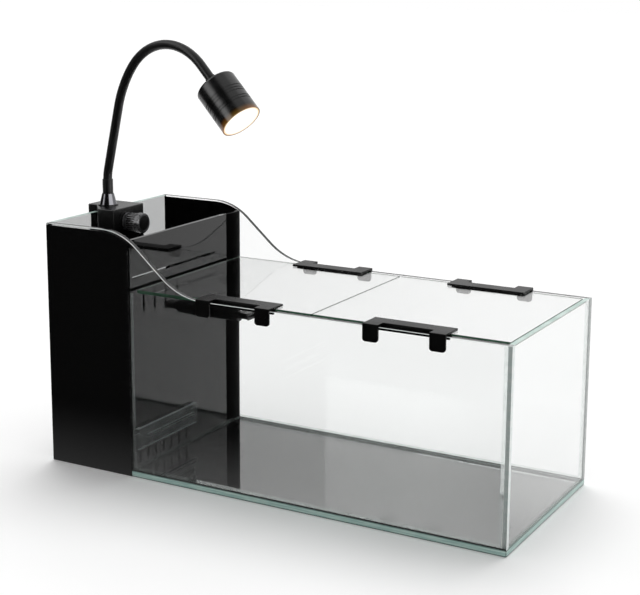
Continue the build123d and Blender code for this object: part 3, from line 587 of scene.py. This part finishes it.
def floor_film():
    """The film under the floor glass, which a thin layer of air keeps off it."""
    gap, corner = 0.05 * MM, 1.5 * MM
    low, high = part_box("base_film")
    high = high.copy()
    high.z -= gap
    mesh = bmesh.new()
    bmesh.ops.create_cube(mesh, size=1.0)
    for vert in mesh.verts:
        vert.co = Vector([(low[i] + high[i]) / 2 + vert.co[i] * (high[i] - low[i]) for i in range(3)])
    upright = [e for e in mesh.edges if abs(e.verts[0].co.z - e.verts[1].co.z) > gap]
    bmesh.ops.bevel(mesh, geom=upright, offset=corner, segments=4, affect="EDGES", profile=0.5)
    data = closed_off(mesh, "base_film_sheet")
    return piece(data.name, data, "tank", "black_film", "base_film", smooth=False)


floor_film()


def rim_height(x):
    """Height of a long pane's rim at x: high over the column, then the sweep, then low."""
    drop, run = 1 - cos(SWEEP_SLOPE), sin(SWEEP_SLOPE)
    fall = RIM_HIGH - RIM_LOW - (SHOULDER_RADIUS + FOOT_RADIUS) * drop
    shoulder_end = SWEEP_START + SHOULDER_RADIUS * run
    foot_start = shoulder_end + fall / tan(SWEEP_SLOPE)
    sweep_end = foot_start + FOOT_RADIUS * run
    if x < SWEEP_START:
        return RIM_HIGH
    if x < shoulder_end:
        return RIM_HIGH - SHOULDER_RADIUS + sqrt(SHOULDER_RADIUS ** 2 - (x - SWEEP_START) ** 2)
    if x < foot_start:
        return RIM_HIGH - SHOULDER_RADIUS * drop - (x - shoulder_end) * tan(SWEEP_SLOPE)
    if x < sweep_end:
        return RIM_LOW + FOOT_RADIUS - sqrt(FOOT_RADIUS ** 2 - (sweep_end - x) ** 2)
    return RIM_LOW


def rim_highlight_bar(name, face, inward):
    """The ground arris of a long pane's rim, on its outer face: a fine bar in the near-white edge finish, a
    painted highlight along the sweep.
    """
    width, proud, step, reach = 0.45 * MM, 0.03 * MM, 1.5 * MM, 0.1 * MM
    count = round(2 * -TANK_LEFT / step)
    mesh = bmesh.new()
    sections = []
    for i in range(count + 1):
        x = TANK_LEFT + 2 * -TANK_LEFT * i / count
        slope = (rim_height(x + reach) - rim_height(x - reach)) / (2 * reach)
        up = Vector((-slope, 0, 1)).normalized()
        rim = Vector((x, face, rim_height(x)))
        out = Vector((0, -inward, 0))
        sections.append([
            mesh.verts.new(rim + up * proud + out * proud),
            mesh.verts.new(rim + up * proud - out * width),
            mesh.verts.new(rim - up * width + out * proud),
        ])
    skin(mesh, sections)
    mesh.faces.new(sections[0])
    mesh.faces.new(reversed(sections[-1]))
    bmesh.ops.recalc_face_normals(mesh, faces=mesh.faces)
    obj = piece(name, closed_off(mesh, name), "tank", "glass", smooth=False)
    return dress(obj, painted_glow_edge)


rim_highlight_bar("front_rim_highlight_bar", TANK_FRONT, 1)
rim_highlight_bar("back_rim_highlight_bar", -TANK_FRONT, -1)
soft_block("sponge_block", "filter_sponge", "sponge", 0.4 * MM, 0.5 * MM, 420.0, 1)
soft_block("floss_pad", "filter_floss", "floss", 0.9 * MM, 1.0 * MM, 160.0, 2)


# Camera, at the place and angle that the corners of the photograph give

camera = bpy.data.objects.new("camera", bpy.data.cameras.new("camera"))
scene.collection.objects.link(camera)
camera_axes = (
    Vector((0.873096, 0.487523, 0.004976)),
    Vector((-0.098426, 0.166255, 0.981158)),
    Vector((0.477510, -0.857135, 0.193142)),
)
turn = Matrix(camera_axes).transposed().to_4x4()
camera.matrix_world = Matrix.Translation((0.67966, -1.20838, 0.51187)) @ turn
camera.data.lens = 81.13
camera.data.sensor_width = 36.0
camera.data.shift_y = -0.0898
scene.camera = camera

# Floor, and the light of a white studio with a dark front

world = Shader(bpy.data.worlds.new("studio"))
scene.world = world.owner


def light_path(shader):
    """Whether a ray was ever mirrored, and whether it lights something: each 0 or 1."""
    path = shader.tree.nodes.new("ShaderNodeLightPath")
    lighting = Value(shader, path.outputs["Is Diffuse Ray"])
    mirrored = Value(shader, path.outputs["Glossy Depth"]).over(0.5) * (1 - lighting)
    return mirrored, lighting


def studio_light():
    """White behind and overhead, a dark front, and three soft boxes that only mirrors see."""
    w = world
    way = w.node("TexCoord", out="Generated")
    x, y, z = w.parts(way)
    mirrored, lighting = light_path(w)
    heading = w.node("Math", {"operation": "ARCTAN2"}, {0: y, 1: x})
    backdrop = w.ramped(y, 0.05, 0.40) * (0.90 - w.ramped(heading, radians(106), radians(132)) * 0.34)
    overhead = w.ramped(z, 0.62, 0.9) * y.over(-0.5, 0.3) * 0.6
    box_height = z.under(0.55, 0.3) * z.over(-0.05, 0.1)
    right_box = heading.over(radians(-40), 0.12) * heading.under(radians(22), 0.12) * box_height
    left_box = heading.over(radians(-134), 0.1) * heading.under(radians(-112), 0.1) * box_height
    front_box = z.over(0.42, 0.12) * z.under(0.92, 0.08) * y.under(0.1, 0.2) * x.under(-0.3, 0.1)
    boxes = (right_box * 3.0).most(left_box * 2.2).most(front_box * 1.3)
    mirror = backdrop.most(overhead).most(boxes) + 0.02
    plain = w.ramped(y, -0.6, 0.6) * 0.42 + 0.37
    strength = lighting * plain + mirrored * mirror + (1 - lighting) * (1 - mirrored)
    w.owner.cycles.sampling_method = "NONE"
    return w.finish(w.node("Background", None, {"Color": [1, 1, 1], "Strength": strength}))


studio_light()

sun = bpy.data.objects.new("key_light", bpy.data.lights.new("key_light", "SUN"))
scene.collection.objects.link(sun)
sun.data.energy = 1.42
sun.data.angle = radians(36)
sun.rotation_euler = (radians(-20), radians(-6), 0)
sun.visible_glossy = False


def floor_piece():
    """The pale studio floor, which mirrored rays see darker towards the front."""
    mesh = bmesh.new()
    bmesh.ops.create_grid(mesh, x_segments=1, y_segments=1, size=12.0)
    obj = bpy.data.objects.new("studio_floor", closed_off(mesh, "studio_floor"))
    scene.collection.objects.link(obj)
    s = material("studio_floor")
    where = s.place()
    x, y, z = s.parts(where)
    mirrored, lighting = light_path(s)
    paper = s.noise(where, 900.0, 2.0)
    tone = s.mixed(paper * 0.05, [0.97, 0.97, 0.97], [0.93, 0.93, 0.93])
    paint = s.node("BsdfDiffuse", None, {"Color": tone})
    lift = s.node("Emission", None, {"Color": [1, 1, 1], "Strength": (1 - lighting) * 0.09})
    lit = s.node("AddShader", None, {0: paint, 1: lift})
    behind = s.ramped(y, -0.28, 0.1) * 0.93 + 0.02
    shown = s.node("Emission", None, {"Color": [1, 1, 1], "Strength": behind})
    obj.data.materials.append(s.finish(s.blended(mirrored, lit, shown)))


floor_piece()

scene.view_settings.view_transform = "Standard"

bpy.context.view_layer.update()
